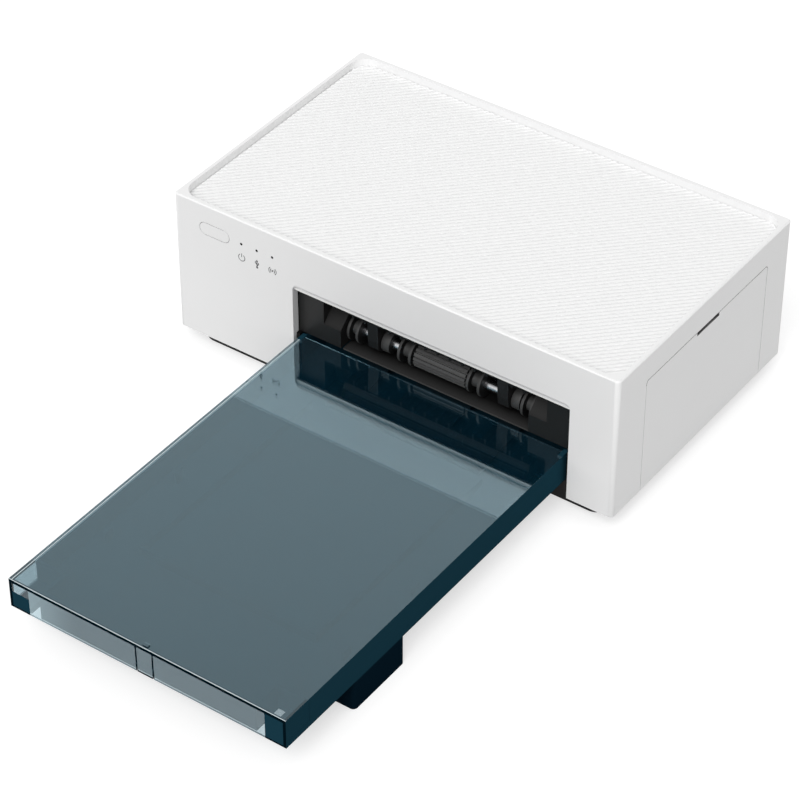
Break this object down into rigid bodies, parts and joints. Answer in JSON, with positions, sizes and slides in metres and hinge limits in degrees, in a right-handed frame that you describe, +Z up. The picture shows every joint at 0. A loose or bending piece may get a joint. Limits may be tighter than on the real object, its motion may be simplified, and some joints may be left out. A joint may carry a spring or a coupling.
{
  "type": "compact photo printer",
  "caption": "Low box-shaped photo printer with a ribbed top, a front slot with exit rollers, a tinted lidded paper tray standing out of the slot and a cartridge door in its side.",
  "frame": {"origin": "on the table under the middle of the whole outline, tray included", "axes": "+X to the right as seen from the front, +Y towards the back, with the tray pointing to -Y, +Z up"},
  "size_m": [0.276, 0.397, 0.096],
  "materials": {
    "white_shell": "satin",
    "dark_plastic": "matt",
    "soft_rubber": "matt",
    "bright_steel": "brushed",
    "board": "satin",
    "grey_plastic": "matt",
    "gear_plastic": "satin",
    "sheet_steel": "matt",
    "brass": "satin",
    "aluminium": "matt",
    "ceramic": "satin",
    "ribbon": "glossy",
    "smoke_plastic": "glossy",
    "clear_plastic": "glossy",
    "painted_steel": "matt",
    "friction_cork": "matt"
  },
  "bodies": {
    "printer": {"outer_shell": "white_shell", "top_panel": "white_shell", "base_plinth": "dark_plastic", "rubber_feet": "soft_rubber", "case_screws": "bright_steel", "door_pins": "bright_steel", "power_switch": "dark_plastic", "status_lamps": "dark_plastic", "front_board": "board", "slot_liner": "dark_plastic", "tray_guide": "dark_plastic", "paper_ramp": "grey_plastic", "shaft_brackets": "dark_plastic", "left_frame": "sheet_steel", "right_frame": "sheet_steel", "frame_stays": "sheet_steel", "idler_studs": "bright_steel", "feed_motor": "sheet_steel", "head_pin": "bright_steel", "cartridge_case": "dark_plastic", "ribbon_film": "ribbon", "ribbon_motor": "sheet_steel", "rear_guide": "dark_plastic", "main_board": "board", "board_chips": "dark_plastic", "board_capacitors": "aluminium", "dc_inlet": "dark_plastic", "usb_port": "bright_steel", "fan_frame": "dark_plastic"},
    "door": {"cartridge_door": "white_shell"},
    "button": {"power_button": "white_shell"},
    "exit_rollers": {"exit_shaft": "bright_steel", "exit_roller": "soft_rubber", "exit_discs": "dark_plastic", "exit_gear": "gear_plastic"},
    "capstan_drive": {"capstan": "bright_steel", "capstan_gear": "gear_plastic"},
    "pinch": {"pinch_roller": "bright_steel"},
    "platen": {"platen_roller": "soft_rubber", "platen_shaft": "bright_steel"},
    "capstan_idler": {"capstan_idler": "gear_plastic"},
    "pickup_idler": {"pickup_idler": "gear_plastic"},
    "exit_idler": {"exit_idler": "gear_plastic"},
    "feed_drive": {"feed_pinion": "brass"},
    "pickup": {"pickup_shaft": "bright_steel", "pickup_roller": "soft_rubber", "pickup_gear": "gear_plastic"},
    "print_head": {"head_arm": "sheet_steel", "heatsink": "aluminium", "thermal_bar": "ceramic"},
    "supply": {"supply_spool": "dark_plastic"},
    "takeup": {"takeup_spool": "dark_plastic", "takeup_gear": "gear_plastic"},
    "ribbon_drive": {"ribbon_pinion": "brass"},
    "fan": {"fan_rotor": "dark_plastic"},
    "tray": {"tray_base": "smoke_plastic", "lift_spring": "bright_steel"},
    "lid": {"tray_lid": "clear_plastic"},
    "lift": {"lift_plate": "painted_steel", "friction_pad": "friction_cork"}
  },
  "joints": [
    {"name": "tray_slide", "type": "slide", "parent": "printer", "child": "tray", "axis": [0, -1, 0], "range_m": [0, 0.06]},
    {"name": "lid_hinge", "type": "hinge", "parent": "tray", "child": "lid", "pos_m": [0.0249, 0.0345, 0.0345], "axis": [-1, 0, 0], "range_deg": [0, 75]},
    {"name": "lift_hinge", "type": "hinge", "parent": "tray", "child": "lift", "pos_m": [0.0249, 0.009, 0.0215], "axis": [1, 0, 0], "range_deg": [-4.5, 0], "stiffness_Nm_per_rad": 2, "springref_deg": 8.59, "deforming": ["lift_spring"]},
    {"name": "door_hinge", "type": "hinge", "parent": "printer", "child": "door", "pos_m": [0.1336, 0.115, 0.0134], "axis": [0, 1, 0], "range_deg": [0, 90]},
    {"name": "power_press", "type": "slide", "parent": "printer", "child": "button", "axis": [0, 1, 0], "range_m": [0, 0.0008], "stiffness_N_per_m": 900, "springref_m": -0.0008},
    {"name": "head_press", "type": "hinge", "parent": "printer", "child": "print_head", "pos_m": [0.0249, 0.175, 0.083], "axis": [1, 0, 0], "range_deg": [0, 2], "stiffness_Nm_per_rad": 2, "springref_deg": -8.59},
    {"name": "capstan_spin", "type": "hinge", "parent": "printer", "child": "capstan_drive", "pos_m": [0.0249, 0.093, 0.038], "axis": [1, 0, 0], "continuous": true},
    {"name": "feed_pinion_spin", "type": "hinge", "parent": "printer", "child": "feed_drive", "pos_m": [0.0249, 0.10945, 0.0285], "axis": [1, 0, 0], "continuous": true},
    {"name": "capstan_idler_spin", "type": "hinge", "parent": "printer", "child": "capstan_idler", "pos_m": [0.0249, 0.089, 0.04716], "axis": [1, 0, 0], "continuous": true},
    {"name": "pickup_idler_spin", "type": "hinge", "parent": "printer", "child": "pickup_idler", "pos_m": [0.0249, 0.07904, 0.04626], "axis": [1, 0, 0], "continuous": true},
    {"name": "pickup_spin", "type": "hinge", "parent": "printer", "child": "pickup", "pos_m": [0.0249, 0.069, 0.038], "axis": [1, 0, 0], "continuous": true},
    {"name": "exit_idler_spin", "type": "hinge", "parent": "printer", "child": "exit_idler", "pos_m": [0.0249, 0.06055, 0.04788], "axis": [1, 0, 0], "continuous": true},
    {"name": "exit_spin", "type": "hinge", "parent": "printer", "child": "exit_rollers", "pos_m": [0.0249, 0.048, 0.0445], "axis": [1, 0, 0], "continuous": true},
    {"name": "pinch_spin", "type": "hinge", "parent": "printer", "child": "pinch", "pos_m": [0.0249, 0.093, 0.0463], "axis": [1, 0, 0], "continuous": true},
    {"name": "platen_spin", "type": "hinge", "parent": "printer", "child": "platen", "pos_m": [0.0249, 0.117, 0.0366], "axis": [1, 0, 0], "continuous": true},
    {"name": "takeup_spin", "type": "hinge", "parent": "printer", "child": "takeup", "pos_m": [0.0249, 0.084, 0.064], "axis": [1, 0, 0], "continuous": true},
    {"name": "ribbon_pinion_spin", "type": "hinge", "parent": "printer", "child": "ribbon_drive", "pos_m": [0.0249, 0.09245, 0.07989], "axis": [1, 0, 0], "continuous": true},
    {"name": "supply_spin", "type": "hinge", "parent": "printer", "child": "supply", "pos_m": [0.0249, 0.15, 0.064], "axis": [1, 0, 0], "continuous": true},
    {"name": "fan_spin", "type": "hinge", "parent": "printer", "child": "fan", "pos_m": [-0.078, 0.19, 0.05], "axis": [0, 1, 0], "continuous": true}
  ],
  "couplings": [
    {"joint": "feed_pinion_spin", "follows": "capstan_spin", "ratio": -2.1667},
    {"joint": "capstan_idler_spin", "follows": "capstan_spin", "ratio": -1},
    {"joint": "pickup_idler_spin", "follows": "capstan_spin", "ratio": 1},
    {"joint": "pickup_spin", "follows": "capstan_spin", "ratio": -0.625},
    {"joint": "exit_idler_spin", "follows": "capstan_spin", "ratio": 1},
    {"joint": "exit_spin", "follows": "capstan_spin", "ratio": -0.625},
    {"joint": "pinch_spin", "follows": "capstan_spin", "ratio": -1},
    {"joint": "ribbon_pinion_spin", "follows": "takeup_spin", "ratio": -2}
  ]
}
